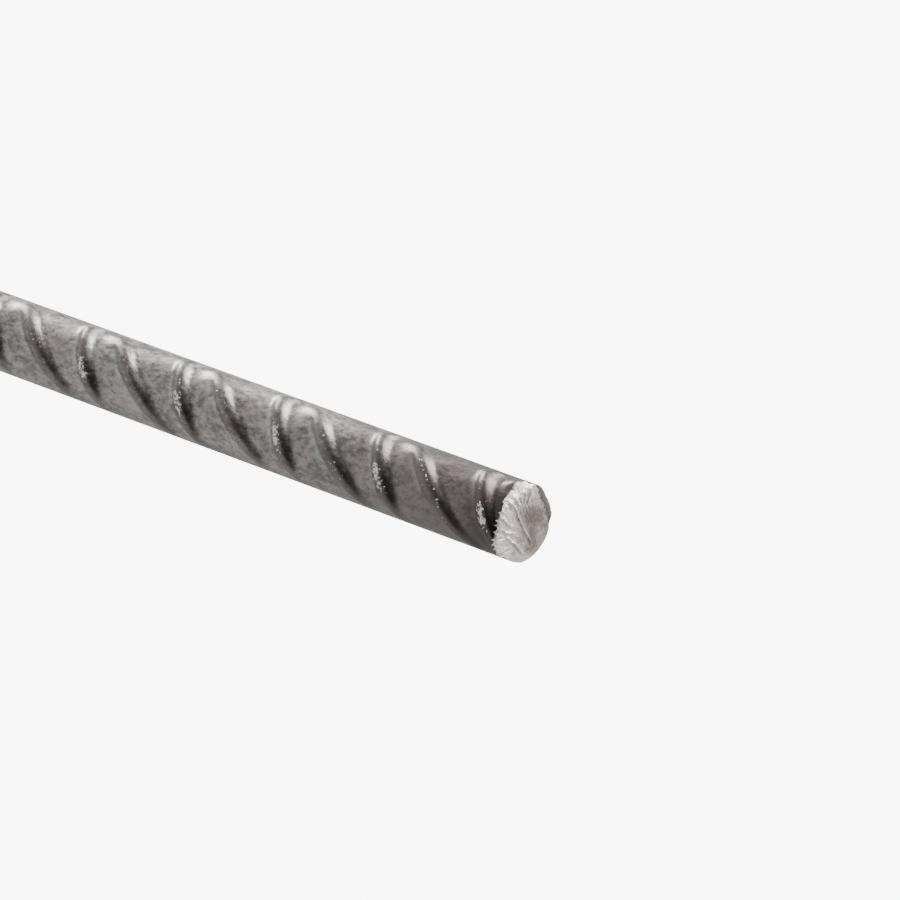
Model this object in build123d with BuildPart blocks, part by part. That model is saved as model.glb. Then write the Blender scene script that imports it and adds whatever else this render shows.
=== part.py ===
from build123d import *
import math
import os

# A length of hot rolled ribbed bar. It lies along X with its axis level, resting on Z = 0,
# its sheared end at +X and its plain sawn end at -X. The two rows of crescent ribs face -Y and +Y,
# so the smooth gaps between the rows are at the top and at the bottom.

os.makedirs("parts", exist_ok=True)

# Bar, in mm
bar_length = 100.0
core_diameter = 5.9

# Ribs, in mm
rib_height = 0.39
rib_crest_width = 0.75
rib_flank_run = 0.36
rib_root_depth = 0.35
rib_spacing = 5.06
first_rib_inset = 1.6

# Rib directions, in degrees from the bar's axis, and the half width of a row about its middle
steep_rib_angle = 58.0
shallow_rib_angle = 40.0
plain_row_rib_angle = 50.0
row_half_angle = 75.0

# Sheared end, in mm, with directions in degrees up from -Y round the axis
rollover_direction = 129.0
rollover_radius = 1.7
rollover_sweep = 35.0
torn_corner_direction = 45.0
torn_corner_depth = 0.55
torn_corner_reach = 0.33

# Loft of a rib: how many sections it has, how far past the ends of its row it is buried,
# and how full its crescent is, where 2 gives a plain arc and more keeps its height for longer
sections_per_rib = 9
buried_share = 1.06
crescent_fullness = 3

# Sizes that follow
core_radius = core_diameter / 2
outer_radius = core_radius + rib_height
near_end = bar_length / 2
far_end = -bar_length / 2
overrun = 2 * core_diameter
clear_of_bar = 2 * outer_radius


def round_axis(direction, radius, x=0.0):
    """Point at a radius from the bar's axis, with direction in degrees up from -Y."""
    angle = math.radians(direction)
    return Vector(x, -radius * math.cos(angle), core_radius + radius * math.sin(angle))


def rib_plane(direction, rib_angle):
    """Plane square to a rib where it passes direction: local x across the rib, local y outwards."""
    outwards = round_axis(direction, 1) - round_axis(0, 0)
    upwards = Vector(1, 0, 0).cross(outwards) * -1
    lean = math.radians(rib_angle)
    along = upwards * math.sin(lean) - Vector(1, 0, 0) * math.cos(lean)
    travel = -core_radius * math.radians(direction) / math.tan(lean)
    return Plane(
        origin=round_axis(direction, core_radius, travel),
        x_dir=outwards.cross(along),
        z_dir=along,
    )


def rib_section(height):
    """Corners of a rib's section, with its root below the surface of the core and its crest above."""
    half_crest = rib_crest_width / 2
    half_root = half_crest + (height + rib_root_depth) * rib_flank_run / rib_height
    return [
        (-half_root, -rib_root_depth),
        (half_root, -rib_root_depth),
        (half_crest, height),
        (-half_crest, height),
    ]


def crescent_rib(rib_angle, row_direction):
    """One rib, straight on the unrolled surface, that fades into the core at both ends of its row."""
    with BuildPart() as rib:
        for step in range(sections_per_rib):
            share = buried_share * (2 * step / (sections_per_rib - 1) - 1)
            with BuildSketch(rib_plane(row_half_angle * share, rib_angle)):
                Polygon(*rib_section(rib_height * (1 - abs(share) ** crescent_fullness)), align=None)
        loft()
    return rib.part.rotate(Axis((0, 0, core_radius), (1, 0, 0)), row_direction)


# Places of the ribs along the bar: the two inclinations take turns in the marked row
first_rib = near_end - first_rib_inset
rib_count = math.ceil((bar_length + overrun) / rib_spacing)
rib_places = [first_rib - (n - 1) * rib_spacing for n in range(rib_count)]
shallow_places = [(x, 0, 0) for x in rib_places[0::2]]
steep_places = [(x, 0, 0) for x in rib_places[1::2]]
plain_row_places = [(x, 0, 0) for x in rib_places]
steep_rib = crescent_rib(steep_rib_angle, 0)
shallow_rib = crescent_rib(shallow_rib_angle, 0)
plain_row_rib = crescent_rib(plain_row_rib_angle, 180)

# Side view of the sheared end, on the plane through the axis and the middle of the rollover
towards_rollover = round_axis(rollover_direction, 1) - round_axis(0, 0)
shear_plane = Plane(
    origin=(0, 0, core_radius),
    x_dir=(1, 0, 0),
    z_dir=Vector(1, 0, 0).cross(towards_rollover),
)
rollover_width = rollover_radius * math.sin(math.radians(rollover_sweep))

with BuildPart() as rebar_rod:
    # Round core, longer than the bar at both ends until the ends are cut
    with BuildSketch(Plane.YZ.offset(far_end - overrun)):
        with Locations((0, core_radius)):
            Circle(core_radius)
    extrude(amount=bar_length + 2 * overrun)

    # Marked row on -Y, with alternate steep and shallow ribs
    with Locations(*steep_places):
        add(steep_rib)
    with Locations(*shallow_places):
        add(shallow_rib)

    # Plain row on +Y, with all its ribs parallel
    with Locations(*plain_row_places):
        add(plain_row_rib)

    # Both ends: square at -X, and at +X sheared, with the edge rolled over where the blade went in
    with BuildSketch(shear_plane):
        with BuildLine():
            start = (near_end, core_radius - rollover_width)
            burnished = JernArc(start, (0, 1), rollover_radius, rollover_sweep)
            drop = Line(burnished @ 1, burnished @ 1 + (burnished % 1) * clear_of_bar)
            far_corner = (far_end, (drop @ 1).Y)
            Polyline(drop @ 1, far_corner, (far_end, -clear_of_bar), (near_end, -clear_of_bar), start)
        make_face()
    extrude(amount=clear_of_bar, both=True, mode=Mode.INTERSECT)

    # Torn corner, where the metal gave way below the end face
    corner = round_axis(torn_corner_direction, core_radius - torn_corner_reach, near_end)
    tear_out = round_axis(torn_corner_direction, 1) - round_axis(0, 0)
    tear_normal = Vector(torn_corner_reach, 0, 0) + tear_out * torn_corner_depth
    split(bisect_by=Plane(origin=corner, z_dir=tear_normal), keep=Keep.BOTTOM)

rebar_rod.part.label = "rebar_rod"
export_step(rebar_rod.part, "parts/rebar_rod.step")
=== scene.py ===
import math
import random

import bmesh
import bpy
from mathutils import Matrix, Vector


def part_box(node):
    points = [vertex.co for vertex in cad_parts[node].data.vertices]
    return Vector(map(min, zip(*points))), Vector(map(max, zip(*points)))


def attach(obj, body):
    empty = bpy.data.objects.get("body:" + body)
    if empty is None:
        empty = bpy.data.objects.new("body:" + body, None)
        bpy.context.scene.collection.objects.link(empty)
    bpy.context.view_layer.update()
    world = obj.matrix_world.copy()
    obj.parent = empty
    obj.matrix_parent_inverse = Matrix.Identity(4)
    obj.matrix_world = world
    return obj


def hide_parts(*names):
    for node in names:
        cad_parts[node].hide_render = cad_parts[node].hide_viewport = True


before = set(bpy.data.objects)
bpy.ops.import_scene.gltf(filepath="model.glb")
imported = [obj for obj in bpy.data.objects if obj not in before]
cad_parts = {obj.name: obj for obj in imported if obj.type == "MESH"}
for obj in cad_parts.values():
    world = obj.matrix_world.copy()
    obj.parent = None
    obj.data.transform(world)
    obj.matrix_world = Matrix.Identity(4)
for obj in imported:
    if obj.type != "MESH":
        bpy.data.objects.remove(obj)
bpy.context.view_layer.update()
MM = 0.001

# The bar lies along X, its sheared end at +X and the marked row of ribs towards -Y
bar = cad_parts["rebar_rod"]
low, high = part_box("rebar_rod")
CORE_RADIUS = (high.z - low.z) / 2
OUTER_RADIUS = (high.y - low.y) / 2
AXIS = Vector((0, (low.y + high.y) / 2, low.z + CORE_RADIUS))
SHEARED_END = high.x
SAWN_END = low.x

# Camera, as the photograph was taken: a long lens, nearly level with the bar, and leaning over. The middle
# of the sheared end falls on END_PIXEL, and the core is BAR_PIXELS wide there
PICTURE = 900
FOCAL_PIXELS = 6400
SENSOR = 36.0
CAMERA_AZIMUTH = math.radians(37.6)
CAMERA_ELEVATION = math.radians(2.0)
CAMERA_LEAN = math.radians(-18.3)
END_PIXEL = (524.8, 523.2)
BAR_PIXELS = 81.63


def linear(hex_colour):
    """sRGB hex colour to linear RGBA."""
    channels = [int(hex_colour[i : i + 2], 16) / 255 for i in (1, 3, 5)]
    return [c / 12.92 if c <= 0.04045 else ((c + 0.055) / 1.055) ** 2.4 for c in channels] + [1.0]


def add_node(tree, kind, settings=None, links=None, output=None):
    """Add a node with its settings and links, and return the output asked for, or else its result."""
    node = tree.nodes.new(kind)
    for name, value in (settings or {}).items():
        if isinstance(name, str) and hasattr(node, name):
            setattr(node, name, value)
        else:
            node.inputs[name].default_value = value
    for name, socket in (links or {}).items():
        tree.links.new(socket, node.inputs[name])
    return node.outputs[output] if output else next(socket for socket in node.outputs if socket.enabled)


def choose(piece):
    """Select one piece and nothing else, and make it the active one."""
    bpy.ops.object.select_all(action="DESELECT")
    piece.select_set(True)
    bpy.context.view_layer.objects.active = piece


def edit(piece):
    """Enter edit mode on one piece."""
    choose(piece)
    bpy.ops.object.mode_set(mode="EDIT")


def pick(kind, test):
    """In edit mode, select the vertices, edges or faces that pass a test, and nothing else."""
    bpy.ops.mesh.select_mode(type=kind)
    bpy.ops.mesh.select_all(action="DESELECT")
    mesh = bmesh.from_edit_mesh(bpy.context.object.data)
    for item in {"VERT": mesh.verts, "EDGE": mesh.edges, "FACE": mesh.faces}[kind]:
        item.select_set(test(item))
    mesh.select_flush_mode()
    bmesh.update_edit_mesh(bpy.context.object.data)


def apply(piece, kind, **settings):
    """Add a modifier to a piece, set it and apply it."""
    choose(piece)
    modifier = piece.modifiers.new(kind.lower(), kind)
    for name, value in settings.items():
        setattr(modifier, name, value)
    bpy.ops.object.modifier_apply(modifier=modifier.name)


# Spokes and rings of the skin: where each zone of rings starts and ends, and the gap between its rings.
# They are finest beside the sheared end, and coarsest where the picture doesn't reach
SPOKES = 160
ZONES = [
    (SAWN_END, -12.0 * MM, 0.32 * MM),
    (-12.0 * MM, 48.6 * MM, 0.175 * MM),
    (48.6 * MM, SHEARED_END, 0.07 * MM),
]
SHEARED_FACE_RINGS = 32
SAWN_FACE_RINGS = 12
HAIR = 0.002 * MM
CRISP_ANGLE = math.radians(38)


def lies_along(edge, start, end, least):
    """Whether an edge lies between two places along the bar, and is longer than least in that direction."""
    ends = sorted(v.co.x for v in edge.verts)
    return ends[1] - ends[0] > least and start < ends[0] and ends[1] < end


def skin_of_bar():
    """A fine even skin over the bar's solid, so that its edges can soften and its surface can pit."""
    form = bar.copy()
    form.data = bar.data.copy()
    bpy.context.scene.collection.objects.link(form)
    edit(form)
    bpy.ops.mesh.select_all(action="SELECT")
    bpy.ops.mesh.remove_doubles(threshold=0.001 * MM)
    bpy.ops.object.mode_set(mode="OBJECT")

    bpy.ops.object.select_all(action="DESELECT")
    bpy.ops.mesh.primitive_cylinder_add(
        vertices=SPOKES,
        radius=1.2 * OUTER_RADIUS,
        depth=SHEARED_END - SAWN_END - 2 * HAIR,
        end_fill_type="NOTHING",
        location=AXIS + Vector(((SHEARED_END + SAWN_END) / 2, 0, 0)),
        rotation=(0, math.pi / 2, 0),
    )
    skin = bpy.context.object
    skin.name = "bar_skin"
    bpy.ops.object.transform_apply(location=True, rotation=True, scale=True)

    bpy.ops.object.mode_set(mode="EDIT")
    for start, end, gap in ZONES[1:]:
        bpy.ops.mesh.select_all(action="SELECT")
        bpy.ops.mesh.bisect(plane_co=(start, 0, 0), plane_no=(1, 0, 0))
    for start, end, gap in ZONES:
        pick("EDGE", lambda edge: lies_along(edge, start - gap, end + gap, 2 * gap))
        cuts = round((end - start) / gap) - 1
        bpy.ops.mesh.subdivide_edgering(number_cuts=cuts, interpolation="LINEAR")
    bpy.ops.mesh.select_all(action="SELECT")
    bpy.ops.mesh.normals_make_consistent(inside=False)
    bpy.ops.object.mode_set(mode="OBJECT")
    apply(
        skin,
        "SHRINKWRAP",
        target=form,
        wrap_method="PROJECT",
        use_negative_direction=True,
        use_positive_direction=False,
    )
    bpy.data.objects.remove(form)
    return skin


def close_end(skin, end, rings):
    """Close one end of the skin with rings that shrink to the middle."""
    edit(skin)
    pick("VERT", lambda v: abs(v.co.x - end) < 2 * HAIR)
    for ring in range(rings, 1, -1):
        bpy.ops.mesh.extrude_region()
        shrink = (ring - 1) / ring
        bpy.ops.transform.resize(value=(1, shrink, shrink), center_override=(end, AXIS.y, AXIS.z))
    bpy.ops.mesh.extrude_region()
    bpy.ops.mesh.merge(type="CENTER")
    bpy.ops.object.mode_set(mode="OBJECT")


# Ribs of the marked row, as the bar was rolled: every second one shallow
RIB_SPACING = 5.06 * MM
FIRST_RIB_INSET = 1.6 * MM
SHALLOW_RIB_ANGLE = math.radians(40)
STEEP_RIB_ANGLE = math.radians(58)

# Broad foot of a shallow rib's upper end, along the bar from the rib's middle, and in degrees up from -Y.
# Smoothing is in passes, and stops at NEAR_SHEARED_END, so that the end keeps its edge
FOOT_START = 0.62 * MM
FOOT_END = 2.5 * MM
FOOT_DIRECTIONS = (36, 82)
FOOT_MIDDLE = 70
FOOT_CENTRE = 1.95 * MM
FOOT_HEIGHT = 0.18 * MM
FOOT_REACH = 0.85 * MM
FOOT_SMOOTHING = 80
RIB_SMOOTHING = 6
NEAR_SHEARED_END = SHEARED_END - 0.45 * MM

# Sheared end, with directions in degrees up from -Y: the edge rolled over on one side, the torn corner
# with its passes of wear and its dents, the teeth, which shorten over TEETH_TAPER to both sides of their
# middle, the bulge beside the corner, the swollen lower rim and the ridges across the face
ROLLOVER_DIRECTION = 129
ROLLOVER_START = CORE_RADIUS - 0.97 * MM
TORN_DEPTH = 0.6 * MM
TORN_CORNER = (15, 75)
TORN_MIDDLE = 45
TORN_REACH = 0.33 * MM
CORNER_WEAR = 40
CORNER_DENTS = 26
TEETH = (-64, 18)
TEETH_MIDDLE = -20
TEETH_TAPER = 45
TOOTH_GAPS = (6.5, 10.5)
TOOTH_WIDTHS = (0.22 * MM, 0.32 * MM)
BULGE_DIRECTION = 54
BULGE_INSET = 0.95 * MM
BULGE_HEIGHT = 0.15 * MM
SWOLLEN_RIM = range(-170, -105, 5)
SWELLING = Vector((0, 0.1, -0.05)) * MM
SWELLING_REACH = 0.9 * MM
RIDGE_HEIGHT = 0.09 * MM
RIDGE_REACH = 0.2 * MM
RIDGE_STEP = 0.08 * MM


def direction_of(point):
    """Direction round the axis, in degrees up from -Y."""
    return math.degrees(math.atan2(point.z - AXIS.z, AXIS.y - point.y))


def round_axis(direction, radius, x):
    """Point at a radius from the bar's axis, with its direction in degrees up from -Y."""
    angle = math.radians(direction)
    return Vector((x, AXIS.y - radius * math.cos(angle), AXIS.z + radius * math.sin(angle)))


def push(places, reach, offset, falloff="SMOOTH"):
    """Pull the vertices at some places by an offset, and their neighbours within reach less and less."""
    bpy.ops.mesh.select_mode(type="VERT")
    bpy.ops.mesh.select_all(action="DESELECT")
    mesh = bmesh.from_edit_mesh(bpy.context.object.data)
    for place in places:
        min(mesh.verts, key=lambda v: (v.co - place).length_squared).select_set(True)
    bmesh.update_edit_mesh(bpy.context.object.data)
    bpy.ops.transform.translate(
        value=offset,
        use_proportional_edit=True,
        proportional_edit_falloff=falloff,
        proportional_size=reach,
    )


def in_broad_foot(vertex):
    """Whether a vertex is in the broad foot of a shallow rib, on its side away from the sheared end."""
    direction = direction_of(vertex.co)
    if not FOOT_DIRECTIONS[0] < direction < FOOT_DIRECTIONS[1]:
        return False
    lead = vertex.co.x + CORE_RADIUS * math.radians(direction) / math.tan(SHALLOW_RIB_ANGLE)
    behind = (SHEARED_END - FIRST_RIB_INSET + RIB_SPACING - lead) % (2 * RIB_SPACING)
    return FOOT_START < behind < FOOT_END and vertex.co.x < NEAR_SHEARED_END


def soften_ribs(skin):
    """Rolled ribs have rounded crests and soft feet, and the upper ends of the shallow ones a broad foot."""
    edit(skin)
    pick("VERT", in_broad_foot)
    bpy.ops.mesh.vertices_smooth(factor=0.5, repeat=FOOT_SMOOTHING)
    outwards = round_axis(FOOT_MIDDLE, 1, 0) - AXIS
    x = SHEARED_END - FIRST_RIB_INSET + RIB_SPACING
    while x > SAWN_END + 6 * MM:
        along = x - CORE_RADIUS * math.radians(FOOT_MIDDLE) / math.tan(SHALLOW_RIB_ANGLE) - FOOT_CENTRE
        top = round_axis(FOOT_MIDDLE, CORE_RADIUS + 0.1 * MM, along)
        push([top], FOOT_REACH, outwards * FOOT_HEIGHT)
        x -= 2 * RIB_SPACING
    pick("VERT", lambda v: SAWN_END + 0.3 * MM < v.co.x < NEAR_SHEARED_END)
    bpy.ops.mesh.vertices_smooth(factor=0.5, repeat=RIB_SMOOTHING)
    bpy.ops.object.mode_set(mode="OBJECT")


def on_face(right, up):
    """Point on the sheared face, in core radii from its middle, as seen when facing it."""
    return Vector((SHEARED_END, AXIS.y + right * CORE_RADIUS, AXIS.z + up * CORE_RADIUS))


# Ridges that the blade left across the face, each a line of points in core radii
RIDGES = [
    [(-0.84, 0.42), (-0.49, 0.24), (-0.35, 0.1), (-0.14, -0.04), (0.14, -0.23), (0.3, -0.32), (0.46, -0.42)],
    [(-0.50, -0.46), (-0.15, -0.55), (0.08, -0.64), (0.26, -0.74)],
    [(-0.95, -0.02), (-0.70, -0.12), (-0.46, -0.18)],
    [(-0.90, -0.30), (-0.62, -0.34), (-0.30, -0.33)],
    [(-0.74, 0.58), (-0.58, 0.46), (-0.45, 0.40)],
    [(-0.60, 0.72), (-0.46, 0.56), (-0.40, 0.44)],
    [(-0.42, 0.84), (-0.34, 0.66), (-0.30, 0.48)],
    [(-0.22, 0.90), (-0.18, 0.70), (-0.16, 0.52)],
]


def tear_sheared_end(skin):
    """The blade left ridges across the face, and a row of torn teeth on the side where it came out."""
    chance = random.Random(11)
    edit(skin)
    for line in RIDGES:
        places = []
        for start, end in zip(line, line[1:]):
            start, end = on_face(*start), on_face(*end)
            steps = math.ceil((end - start).length / RIDGE_STEP)
            places += [start.lerp(end, step / steps) for step in range(steps + 1)]
        push(places, RIDGE_REACH, (RIDGE_HEIGHT, 0, 0), "SHARP")

    # the torn corner: its straight edge is worn away, and then dented
    corner_edge = round_axis(TORN_MIDDLE, CORE_RADIUS - TORN_REACH, SHEARED_END)
    outwards = round_axis(TORN_MIDDLE, 1, 0) - AXIS

    def beside_corner_edge(vertex):
        across = (vertex.co - corner_edge).dot(outwards)
        return vertex.co.x > SHEARED_END - 0.4 * MM and abs(across) < 0.28 * MM

    pick("VERT", beside_corner_edge)
    bpy.ops.mesh.vertices_smooth(factor=0.5, repeat=CORNER_WEAR)
    for dent in range(CORNER_DENTS):
        direction = TORN_MIDDLE + chance.uniform(-32, 32)
        place = round_axis(direction, CORE_RADIUS - chance.uniform(0.0, 0.7) * MM, SHEARED_END)
        push([place], chance.uniform(0.18, 0.4) * MM, (chance.uniform(-0.08, 0.11) * MM, 0, 0))

    # the teeth: drawn out of the rim and bent back, the longest in the middle of their row
    mesh = bmesh.from_edit_mesh(skin.data)
    end_face = [v.co for v in mesh.verts if v.co.x > SHEARED_END - 0.03 * MM]
    direction = float(TEETH[1])
    while direction > TEETH[0]:
        near = [point.copy() for point in end_face if abs(direction_of(point) - direction) < 1.2]
        rim = max(near, key=lambda point: (point - AXIS).yz.length)
        middle = max(0, 1 - abs(direction - TEETH_MIDDLE) / TEETH_TAPER)
        outwards = round_axis(direction, 1, 0) - AXIS
        offset = outwards * (chance.uniform(0.1, 0.2) + 0.2 * middle) * MM
        offset.x = -(chance.uniform(0.0, 0.08) + 0.2 * middle) * MM
        push([rim], chance.uniform(*TOOTH_WIDTHS), offset, "SHARP")
        direction -= chance.uniform(*TOOTH_GAPS)

    # the metal that the tear pushed up beside the corner, and at the lower rim
    bulge = round_axis(BULGE_DIRECTION, CORE_RADIUS, SHEARED_END - BULGE_INSET)
    push([bulge], SWELLING_REACH, (round_axis(BULGE_DIRECTION, 1, 0) - AXIS) * BULGE_HEIGHT)
    swollen = [round_axis(direction, CORE_RADIUS, SHEARED_END) for direction in SWOLLEN_RIM]
    push(swollen, SWELLING_REACH, SWELLING)
    bpy.ops.object.mode_set(mode="OBJECT")


def shade(skin):
    """Smooth shading everywhere but across the edges of the ends, which stay crisp."""
    choose(skin)
    bpy.ops.object.shade_smooth_by_angle(angle=CRISP_ANGLE)


def mill_scale_steel():
    """Hot rolled steel under mill scale: a dark grey oxide skin with a dull metallic sheen. It gives the eye
    soft blotches a millimetre or two across, darker ribs, and bright steel where a crest is rubbed bare."""
    material = bpy.data.materials.new("mill_scale_steel")
    material.use_nodes = True
    tree = material.node_tree
    shader = tree.nodes["Principled BSDF"]
    place = add_node(tree, "ShaderNodeTexCoord", output="Object")
    place = add_node(tree, "ShaderNodeVectorMath", {"operation": "SUBTRACT", 1: AXIS}, {0: place})
    place = add_node(tree, "ShaderNodeVectorMath", {"operation": "SCALE", "Scale": 1 / MM}, {0: place})
    across = add_node(tree, "ShaderNodeVectorMath", {"operation": "MULTIPLY", 1: (0, 1, 1)}, {0: place})
    radius = add_node(tree, "ShaderNodeVectorMath", {"operation": "LENGTH"}, {0: across})
    x, y, z = add_node(tree, "ShaderNodeSeparateXYZ", {}, {0: place}).node.outputs

    # blotches 1.8 mm across and grains 0.35 mm across, both longer along the bar, as rolling leaves them,
    # with a slow drift between a cooler and a warmer grey
    stretched = add_node(
        tree, "ShaderNodeVectorMath", {"operation": "MULTIPLY", 1: (0.6, 1, 1)}, {0: place}
    )
    blotches = add_node(
        tree,
        "ShaderNodeTexNoise",
        {"Scale": 0.55, "Detail": 7.0, "Roughness": 0.74, "Distortion": 0.4},
        {"Vector": stretched},
    )
    grains = add_node(
        tree, "ShaderNodeTexNoise", {"Scale": 2.8, "Detail": 4.0, "Roughness": 0.65}, {"Vector": stretched}
    )
    hues = add_node(
        tree, "ShaderNodeTexNoise", {"Scale": 0.35, "Detail": 2.0, "Roughness": 0.5}, {"Vector": place}
    )
    mottles = add_node(
        tree, "ShaderNodeMath", {"operation": "MULTIPLY_ADD", 1: 0.8}, {0: grains, 2: blotches}
    )
    light = add_node(tree, "ShaderNodeMapRange", {"From Min": 0.77, "From Max": 1.04}, {"Value": mottles})
    warm = add_node(tree, "ShaderNodeMapRange", {"From Min": 0.38, "From Max": 0.62}, {"Value": hues})
    dark_tone = add_node(
        tree, "ShaderNodeMix", {"data_type": "RGBA", 6: linear("#6f6e6b"), 7: linear("#746c69")}, {0: warm}
    )
    light_tone = add_node(
        tree, "ShaderNodeMix", {"data_type": "RGBA", 6: linear("#adaca7"), 7: linear("#aea6a3")}, {0: warm}
    )
    tone = add_node(tree, "ShaderNodeMix", {"data_type": "RGBA"}, {0: light, 6: dark_tone, 7: light_tone})

    # browner and darker near the sheared end; painted shade makes it most so at the top and the bottom
    near_end = add_node(
        tree,
        "ShaderNodeMapRange",
        {"interpolation_type": "SMOOTHSTEP", "From Min": 24.0, "From Max": 47.0, "To Max": 0.62},
        {"Value": x},
    )
    # painted shade: the darkening grows towards the top and the bottom of the bar
    top_and_bottom_shade = add_node(tree, "ShaderNodeMath", {"operation": "ABSOLUTE"}, {0: z})
    top_and_bottom_shade = add_node(
        tree,
        "ShaderNodeMapRange",
        {
            "interpolation_type": "SMOOTHSTEP",
            "From Min": 0.8,
            "From Max": 2.3,
            "To Min": 1.0,
            "To Max": 1.34,
        },
        {"Value": top_and_bottom_shade},
    )
    near_end = add_node(tree, "ShaderNodeMath", {"operation": "MULTIPLY"}, {0: near_end, 1: top_and_bottom_shade})
    tone = add_node(
        tree, "ShaderNodeMix", {"data_type": "RGBA", 7: linear("#5d5150")}, {0: near_end, 6: tone}
    )
    # painted shade over the last few millimetres, nearly black, but not along the top
    end_shade = add_node(
        tree,
        "ShaderNodeMapRange",
        {"interpolation_type": "SMOOTHSTEP", "From Min": 45.0, "From Max": 48.5, "To Max": 0.7},
        {"Value": x},
    )
    below_top = add_node(
        tree,
        "ShaderNodeMapRange",
        {
            "interpolation_type": "SMOOTHSTEP",
            "From Min": 1.5,
            "From Max": 2.4,
            "To Min": 1.0,
            "To Max": 0.1,
        },
        {"Value": z},
    )
    end_shade = add_node(tree, "ShaderNodeMath", {"operation": "MULTIPLY"}, {0: end_shade, 1: below_top})
    tone = add_node(tree, "ShaderNodeMix", {"data_type": "RGBA", 7: linear("#3a3431")}, {0: end_shade, 6: tone})

    # ribs hold more scale and dirt than the land between them
    rib = add_node(
        tree,
        "ShaderNodeMapRange",
        {
            "interpolation_type": "SMOOTHSTEP",
            "From Min": CORE_RADIUS / MM + 0.06,
            "From Max": CORE_RADIUS / MM + 0.26,
            "To Max": 0.6,
        },
        {"Value": radius},
    )
    tone = add_node(tree, "ShaderNodeMix", {"data_type": "RGBA", 7: linear("#544c48")}, {0: rib, 6: tone})

    # pits 0.15 mm across where the scale has gone
    specks = add_node(
        tree, "ShaderNodeTexNoise", {"Scale": 6.5, "Detail": 2.0, "Roughness": 0.7}, {"Vector": place}
    )
    pits = add_node(
        tree, "ShaderNodeMapRange", {"From Min": 0.61, "From Max": 0.68, "To Max": 0.7}, {"Value": specks}
    )
    tone = add_node(tree, "ShaderNodeMix", {"data_type": "RGBA", 7: linear("#3c3634")}, {0: pits, 6: tone})

    # bare steel in flakes 0.25 mm across: on the highest crests, and in clumps where something knocked the
    # steep ribs of the marked row, on the side of the crest that faces away from the sheared end
    flakes = add_node(
        tree, "ShaderNodeTexNoise", {"Scale": 4.2, "Detail": 2.0, "Roughness": 0.65}, {"Vector": place}
    )
    along = add_node(
        tree,
        "ShaderNodeMath",
        {"operation": "MULTIPLY_ADD", 1: 1 / math.tan(STEEP_RIB_ANGLE)},
        {0: z, 2: x},
    )
    past_rib = add_node(
        tree,
        "ShaderNodeMath",
        {"operation": "SUBTRACT", 1: (SHEARED_END - FIRST_RIB_INSET) / MM - 0.4},
        {0: along},
    )
    past_rib = add_node(
        tree,
        "ShaderNodeMath",
        {"operation": "WRAP", 1: RIB_SPACING / MM, 2: -RIB_SPACING / MM},
        {0: past_rib},
    )
    past_rib = add_node(tree, "ShaderNodeMath", {"operation": "ABSOLUTE"}, {0: past_rib})
    beside = add_node(
        tree,
        "ShaderNodeMapRange",
        {
            "interpolation_type": "SMOOTHSTEP",
            "From Min": 0.28,
            "From Max": 0.85,
            "To Min": 1.0,
            "To Max": 0.0,
        },
        {"Value": past_rib},
    )
    height = add_node(tree, "ShaderNodeMath", {"operation": "ADD", 1: 0.3}, {0: z})
    height = add_node(tree, "ShaderNodeMath", {"operation": "ABSOLUTE"}, {0: height})
    beside_middle = add_node(
        tree,
        "ShaderNodeMapRange",
        {
            "interpolation_type": "SMOOTHSTEP",
            "From Min": 0.4,
            "From Max": 1.3,
            "To Min": 0.225,
            "To Max": 0.0,
        },
        {"Value": height},
    )
    marked_row = add_node(tree, "ShaderNodeMath", {"operation": "LESS_THAN", 1: 0.0}, {0: y})
    beside_middle = add_node(
        tree, "ShaderNodeMath", {"operation": "MULTIPLY"}, {0: beside_middle, 1: marked_row}
    )
    knocked = add_node(
        tree, "ShaderNodeMath", {"operation": "MULTIPLY_ADD"}, {0: beside, 1: beside_middle, 2: flakes}
    )
    rubbed = add_node(
        tree, "ShaderNodeMath", {"operation": "MULTIPLY_ADD", 1: 0.6}, {0: radius, 2: knocked}
    )
    bare = add_node(
        tree,
        "ShaderNodeMapRange",
        {"From Min": 0.6 * OUTER_RADIUS / MM + 0.625, "From Max": 0.6 * OUTER_RADIUS / MM + 0.695},
        {"Value": rubbed},
    )
    tone = add_node(tree, "ShaderNodeMix", {"data_type": "RGBA", 7: linear("#e2dcd6")}, {0: bare, 6: tone})
    tree.links.new(tone, shader.inputs["Base Color"])

    gloss = add_node(
        tree,
        "ShaderNodeMapRange",
        {"From Min": 0.3, "From Max": 0.7, "To Min": 0.27, "To Max": 0.42},
        {"Value": grains},
    )
    tree.links.new(gloss, shader.inputs["Roughness"])
    shader.inputs["Metallic"].default_value = 0.8

    # relief of 0.04 mm: grains and pits, deepest where the scale is chipped off
    relief = add_node(tree, "ShaderNodeMath", {"operation": "MULTIPLY_ADD", 1: 0.5}, {0: specks, 2: grains})
    chipped = add_node(tree, "ShaderNodeMath", {"operation": "MULTIPLY"}, {0: bare, 1: flakes})
    relief = add_node(
        tree, "ShaderNodeMath", {"operation": "MULTIPLY_ADD", 1: 3.0}, {0: chipped, 2: relief}
    )
    bump = add_node(tree, "ShaderNodeBump", {"Strength": 0.6, "Distance": 0.04 * MM}, {"Height": relief})
    tree.links.new(bump, shader.inputs["Normal"])
    return material


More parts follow.
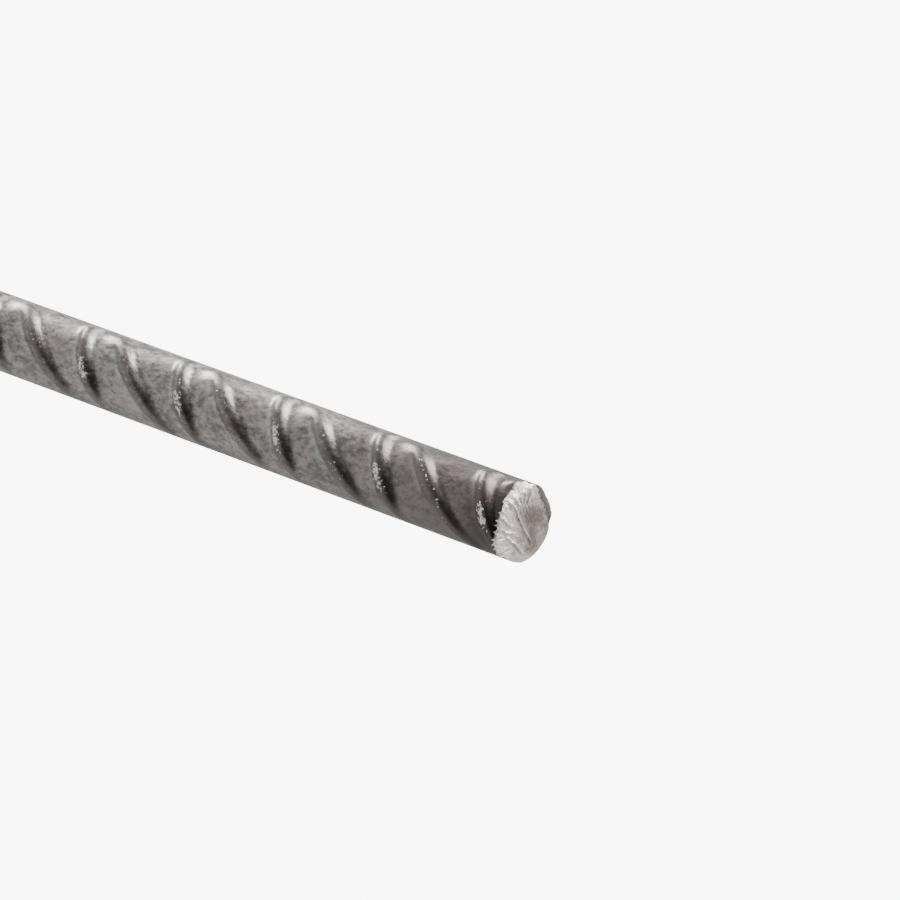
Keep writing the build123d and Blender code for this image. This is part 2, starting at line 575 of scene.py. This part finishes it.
def torn_steel():
    """Bare steel where the blade tore it: pale and matt. Streaks 0.3 mm apart fan out to the torn teeth,
    where the metal is brightest. A stain with ragged edges dulls the side that the blade pressed first."""
    material = bpy.data.materials.new("torn_steel")
    material.use_nodes = True
    tree = material.node_tree
    shader = tree.nodes["Principled BSDF"]
    place = add_node(tree, "ShaderNodeTexCoord", output="Object")
    place = add_node(
        tree,
        "ShaderNodeVectorMath",
        {"operation": "SUBTRACT", 1: AXIS + Vector((SHEARED_END, 0, 0))},
        {0: place},
    )
    place = add_node(tree, "ShaderNodeVectorMath", {"operation": "SCALE", "Scale": 1 / MM}, {0: place})

    # coordinates round the point that the streaks fan out from
    from_root = add_node(
        tree, "ShaderNodeVectorMath", {"operation": "SUBTRACT", 1: (0, 1.7, -0.5)}, {0: place}
    )
    away = add_node(tree, "ShaderNodeVectorMath", {"operation": "LENGTH"}, {0: from_root})
    y, z = add_node(tree, "ShaderNodeSeparateXYZ", {}, {0: from_root}).node.outputs[1:]
    down = add_node(tree, "ShaderNodeMath", {"operation": "MULTIPLY", 1: -1.0}, {0: z})
    left = add_node(tree, "ShaderNodeMath", {"operation": "MULTIPLY", 1: -1.0}, {0: y})
    angle = add_node(tree, "ShaderNodeMath", {"operation": "ARCTAN2"}, {0: down, 1: left})
    fan = add_node(tree, "ShaderNodeCombineXYZ", {}, {"X": angle, "Y": away})
    fan = add_node(tree, "ShaderNodeVectorMath", {"operation": "MULTIPLY", 1: (9.0, 0.7, 0)}, {0: fan})
    streaks = add_node(
        tree,
        "ShaderNodeTexNoise",
        {"Scale": 1.0, "Detail": 5.0, "Roughness": 0.6, "Distortion": 0.7},
        {"Vector": fan},
    )
    grains = add_node(
        tree, "ShaderNodeTexNoise", {"Scale": 4.0, "Detail": 5.0, "Roughness": 0.7}, {"Vector": place}
    )
    clouds = add_node(
        tree,
        "ShaderNodeTexNoise",
        {"Scale": 0.9, "Detail": 4.0, "Roughness": 0.6, "Distortion": 0.6},
        {"Vector": place},
    )
    towards_teeth = add_node(
        tree,
        "ShaderNodeMapRange",
        {"interpolation_type": "SMOOTHSTEP", "From Min": 0.7, "From Max": 4.2},
        {"Value": away},
    )

    # brightness: streaks and clouds, brighter towards the teeth
    combed = add_node(tree, "ShaderNodeMath", {"operation": "SUBTRACT", 1: 0.5}, {0: streaks})
    combed = add_node(tree, "ShaderNodeMath", {"operation": "MULTIPLY"}, {0: combed, 1: towards_teeth})
    light = add_node(tree, "ShaderNodeMath", {"operation": "MULTIPLY_ADD", 1: 1.2}, {0: combed, 2: clouds})
    light = add_node(tree, "ShaderNodeMath", {"operation": "MULTIPLY_ADD", 1: 0.5}, {0: grains, 2: light})
    light = add_node(
        tree, "ShaderNodeMath", {"operation": "MULTIPLY_ADD", 1: 0.55}, {0: towards_teeth, 2: light}
    )
    light = add_node(tree, "ShaderNodeMapRange", {"From Min": 0.66, "From Max": 1.2}, {"Value": light})
    tone = add_node(
        tree, "ShaderNodeMix", {"data_type": "RGBA", 6: linear("#897c77"), 7: linear("#f6e9e3")}, {0: light}
    )

    # ragged stain above and beside the middle
    off_stain = add_node(
        tree, "ShaderNodeVectorMath", {"operation": "SUBTRACT", 1: (0, 0.3, 0.7)}, {0: place}
    )
    off_stain = add_node(
        tree,
        "ShaderNodeMapping",
        {"Rotation": (math.radians(20), 0, 0), "Scale": (0, 0.85, 1.5)},
        {"Vector": off_stain},
    )
    distance = add_node(tree, "ShaderNodeVectorMath", {"operation": "LENGTH"}, {0: off_stain})
    ragged = add_node(
        tree, "ShaderNodeMath", {"operation": "MULTIPLY_ADD", 1: -3.4}, {0: clouds, 2: distance}
    )
    ragged = add_node(
        tree, "ShaderNodeMath", {"operation": "MULTIPLY_ADD", 1: -2.6}, {0: grains, 2: ragged}
    )
    stain = add_node(
        tree,
        "ShaderNodeMapRange",
        {"From Min": -2.2, "From Max": -1.6, "To Min": 0.7, "To Max": 0.0},
        {"Value": ragged},
    )
    tone = add_node(tree, "ShaderNodeMix", {"data_type": "RGBA", 7: linear("#5c524f")}, {0: stain, 6: tone})

    # scale left on the edge that rolled over, in patches
    over = add_node(
        tree,
        "ShaderNodeVectorMath",
        {"operation": "DOT_PRODUCT", 1: round_axis(ROLLOVER_DIRECTION, 1, 0) - AXIS},
        {0: place},
    )
    over = add_node(tree, "ShaderNodeMath", {"operation": "MULTIPLY_ADD", 1: 1.2}, {0: grains, 2: over})
    over = add_node(
        tree,
        "ShaderNodeMapRange",
        {"From Min": ROLLOVER_START / MM + 0.6, "From Max": ROLLOVER_START / MM + 0.9, "To Max": 0.9},
        {"Value": over},
    )
    tone = add_node(tree, "ShaderNodeMix", {"data_type": "RGBA", 7: linear("#3a3431")}, {0: over, 6: tone})

    # painted shade on the torn corner, darker in patches, against the strong light from overhead
    corner = add_node(
        tree,
        "ShaderNodeVectorMath",
        {"operation": "DOT_PRODUCT", 1: round_axis(TORN_MIDDLE, 1, 0) - AXIS},
        {0: place},
    )
    corner = add_node(tree, "ShaderNodeMath", {"operation": "MULTIPLY_ADD", 1: 1.6}, {0: grains, 2: corner})
    corner = add_node(
        tree,
        "ShaderNodeMapRange",
        {"From Min": CORE_RADIUS / MM + 0.35, "From Max": CORE_RADIUS / MM + 0.75, "To Max": 0.75},
        {"Value": corner},
    )
    tone = add_node(
        tree, "ShaderNodeMix", {"data_type": "RGBA", 7: linear("#7a736f")}, {0: corner, 6: tone}
    )
    tree.links.new(tone, shader.inputs["Base Color"])
    shader.inputs["Metallic"].default_value = 0.6
    gloss = add_node(
        tree,
        "ShaderNodeMapRange",
        {"From Min": 0.35, "From Max": 0.65, "To Min": 0.34, "To Max": 0.52},
        {"Value": grains},
    )
    tree.links.new(gloss, shader.inputs["Roughness"])

    # relief: deep where the streaks reach the teeth, shallow elsewhere
    depth = add_node(
        tree, "ShaderNodeMath", {"operation": "MULTIPLY_ADD", 1: 0.95, 2: 0.03}, {0: towards_teeth}
    )
    relief = add_node(tree, "ShaderNodeMath", {"operation": "MULTIPLY"}, {0: streaks, 1: depth})
    relief = add_node(
        tree, "ShaderNodeMath", {"operation": "MULTIPLY_ADD", 1: 0.25}, {0: grains, 2: relief}
    )
    relief = add_node(tree, "ShaderNodeMath", {"operation": "MULTIPLY_ADD", 1: 0.6}, {0: clouds, 2: relief})
    bump = add_node(tree, "ShaderNodeBump", {"Strength": 0.9, "Distance": 0.2 * MM}, {"Height": relief})
    tree.links.new(bump, shader.inputs["Normal"])
    return material


def sawn_steel():
    """Bare steel with the fine parallel marks of a saw, 0.3 mm apart: a dull, evenly lined grey."""
    material = bpy.data.materials.new("sawn_steel")
    material.use_nodes = True
    tree = material.node_tree
    shader = tree.nodes["Principled BSDF"]
    place = add_node(tree, "ShaderNodeTexCoord", output="Object")
    place = add_node(tree, "ShaderNodeVectorMath", {"operation": "SCALE", "Scale": 1 / MM}, {0: place})
    turned = add_node(tree, "ShaderNodeMapping", {"Rotation": (math.radians(20), 0, 0)}, {"Vector": place})
    lined = add_node(
        tree, "ShaderNodeVectorMath", {"operation": "MULTIPLY", 1: (0, 0.15, 3.3)}, {0: turned}
    )
    marks = add_node(
        tree, "ShaderNodeTexNoise", {"Scale": 1.0, "Detail": 4.0, "Roughness": 0.7}, {"Vector": lined}
    )
    stains = add_node(tree, "ShaderNodeTexNoise", {"Scale": 0.9, "Detail": 4.0}, {"Vector": place})
    light = add_node(tree, "ShaderNodeMath", {"operation": "MULTIPLY"}, {0: marks, 1: stains})
    light = add_node(tree, "ShaderNodeMapRange", {"From Min": 0.12, "From Max": 0.40}, {"Value": light})
    tone = add_node(
        tree, "ShaderNodeMix", {"data_type": "RGBA", 6: linear("#7d7774"), 7: linear("#c2bdb9")}, {0: light}
    )
    tree.links.new(tone, shader.inputs["Base Color"])
    shader.inputs["Metallic"].default_value = 0.8
    shader.inputs["Roughness"].default_value = 0.4
    bump = add_node(tree, "ShaderNodeBump", {"Strength": 0.7, "Distance": 0.05 * MM}, {"Height": marks})
    tree.links.new(bump, shader.inputs["Normal"])
    return material


def give_ends_their_steel(skin):
    """Torn steel on the sheared face, its torn corner and its teeth, and sawn steel on the end at -X."""
    for polygon in skin.data.polygons:
        arm = polygon.center - AXIS
        direction = direction_of(polygon.center)
        facing = polygon.normal.x
        inside = math.hypot(arm.y, arm.z) < 0.985 * CORE_RADIUS
        in_corner = TORN_CORNER[0] < direction < TORN_CORNER[1] and facing > 0.35
        in_teeth = TEETH[0] < direction < TEETH[1] and arm.x > SHEARED_END - 0.12 * MM
        if arm.x > SHEARED_END - TORN_DEPTH and (facing > 0.75 or inside or in_corner or in_teeth):
            polygon.material_index = 1
        elif arm.x < SAWN_END + 0.5 * MM and facing < -0.5:
            polygon.material_index = 2


def add_camera():
    """The camera, turned as it was and as far away as the bar's width in the picture tells."""
    sine, cosine = math.sin(CAMERA_AZIMUTH), math.cos(CAMERA_AZIMUTH)
    level = math.cos(CAMERA_ELEVATION)
    back = Vector((sine * level, -cosine * level, math.sin(CAMERA_ELEVATION)))
    level_right = Vector((cosine, sine, 0))
    level_up = back.cross(level_right)
    up = level_up * math.cos(CAMERA_LEAN) + level_right * math.sin(CAMERA_LEAN)
    turn = Matrix((up.cross(back), up, back)).transposed()
    distance = FOCAL_PIXELS * 2 * CORE_RADIUS / BAR_PIXELS
    end_seen = Vector((END_PIXEL[0] - PICTURE / 2, PICTURE / 2 - END_PIXEL[1], -FOCAL_PIXELS))
    place = AXIS + Vector((SHEARED_END, 0, 0)) - turn @ (end_seen * distance / FOCAL_PIXELS)
    camera = bpy.data.objects.new("camera", bpy.data.cameras.new("camera"))
    camera.data.sensor_width = SENSOR
    camera.data.lens = SENSOR * FOCAL_PIXELS / PICTURE
    camera.data.clip_start = 0.01
    camera.matrix_world = Matrix.Translation(place) @ turn.to_4x4()
    bpy.context.scene.collection.objects.link(camera)
    bpy.context.scene.camera = camera


def add_softbox(name, towards, along, distance, width, height, strength):
    """A flat rectangular lamp that faces the bar from a direction, with its width along another, and its
    strength in watts per square metre."""
    away = Vector(towards).normalized()
    up = away.cross(Vector(along)).normalized()
    lamp = bpy.data.objects.new(name, bpy.data.lights.new(name, "AREA"))
    lamp.data.shape = "RECTANGLE"
    lamp.data.size = width
    lamp.data.size_y = height
    lamp.data.energy = strength * width * height
    turn = Matrix((up.cross(away), up, away)).transposed()
    lamp.matrix_world = Matrix.Translation(AXIS + away * distance) @ turn.to_4x4()
    bpy.context.scene.collection.objects.link(lamp)


skin = skin_of_bar()
close_end(skin, SHEARED_END, SHEARED_FACE_RINGS)
close_end(skin, SAWN_END, SAWN_FACE_RINGS)
soften_ribs(skin)
tear_sheared_end(skin)
shade(skin)

skin.data.materials.clear()
for steel in (mill_scale_steel(), torn_steel(), sawn_steel()):
    skin.data.materials.append(steel)
give_ends_their_steel(skin)
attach(skin, "root")
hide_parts("rebar_rod")

# Floor of white acrylic lit from below, which glows so evenly that nothing shades it. What lies beyond it
# is as bright to the camera
FLOOR_GLOW = 9.0
bpy.ops.object.select_all(action="DESELECT")
bpy.ops.mesh.primitive_plane_add(size=20)
floor = bpy.context.object
floor.name = "floor"
acrylic = bpy.data.materials.new("glowing_white_acrylic")
acrylic.use_nodes = True
shader = acrylic.node_tree.nodes["Principled BSDF"]
shader.inputs["Base Color"].default_value = linear("#000000")
shader.inputs["Roughness"].default_value = 1.0
shader.inputs["Specular IOR Level"].default_value = 0.0
shader.inputs["Emission Color"].default_value = linear("#ffffff")
shader.inputs["Emission Strength"].default_value = FLOOR_GLOW
floor.data.materials.append(acrylic)
floor.visible_glossy = False
floor.visible_diffuse = False
floor.visible_shadow = False

# Room, as the bar mirrors it: its brightness, and brighter and darker parts of its walls, each with its
# direction, the cosines where it starts and is full, and its brightness
ROOM = 0.57
WALLS = [
    ((0.45, -0.85, -0.05), 0.38, 0.78, -0.54),
    ((0.20, 0.97, 0.00), 0.55, 0.90, 0.48),
    ((-0.70, -0.45, -0.55), 0.40, 0.95, 0.36),
    ((-0.93, -0.33, 0.10), 0.85, 0.97, 0.50),
    ((-0.95, 0.30, -0.05), 0.85, 0.97, -0.40),
]
world = bpy.data.worlds.new("studio")
bpy.context.scene.world = world
world.use_nodes = True
tree = world.node_tree
direction = add_node(tree, "ShaderNodeTexCoord", output="Generated")
total = add_node(tree, "ShaderNodeMath", {"operation": "ADD", 0: ROOM, 1: 0.0})
for towards, start, full, brightness in WALLS:
    towards = Vector(towards).normalized()
    facing = add_node(
        tree, "ShaderNodeVectorMath", {"operation": "DOT_PRODUCT", 1: towards}, {0: direction}
    )
    wall = add_node(
        tree,
        "ShaderNodeMapRange",
        {"interpolation_type": "SMOOTHSTEP", "From Min": start, "From Max": full, "To Max": brightness},
        {"Value": facing},
    )
    total = add_node(tree, "ShaderNodeMath", {"operation": "ADD"}, {0: total, 1: wall})
camera_ray = add_node(tree, "ShaderNodeLightPath", output="Is Camera Ray")
to_camera = add_node(tree, "ShaderNodeMath", {"operation": "MULTIPLY", 1: FLOOR_GLOW}, {0: camera_ray})
total = add_node(tree, "ShaderNodeMath", {"operation": "MAXIMUM"}, {0: total, 1: to_camera})
tree.links.new(total, tree.nodes["Background"].inputs["Strength"])
tree.nodes["Background"].inputs["Color"].default_value = linear("#ffffff")

add_camera()
add_softbox("overhead_softbox", (0.22, 0.28, 0.94), (0.79, -0.62, 0), 0.48, 0.36, 0.60, 48)
add_softbox("left_softbox", (-0.82, 0.17, 0.55), (0.16, 0.63, 0.07), 3.0, 1.3, 0.42, 108)
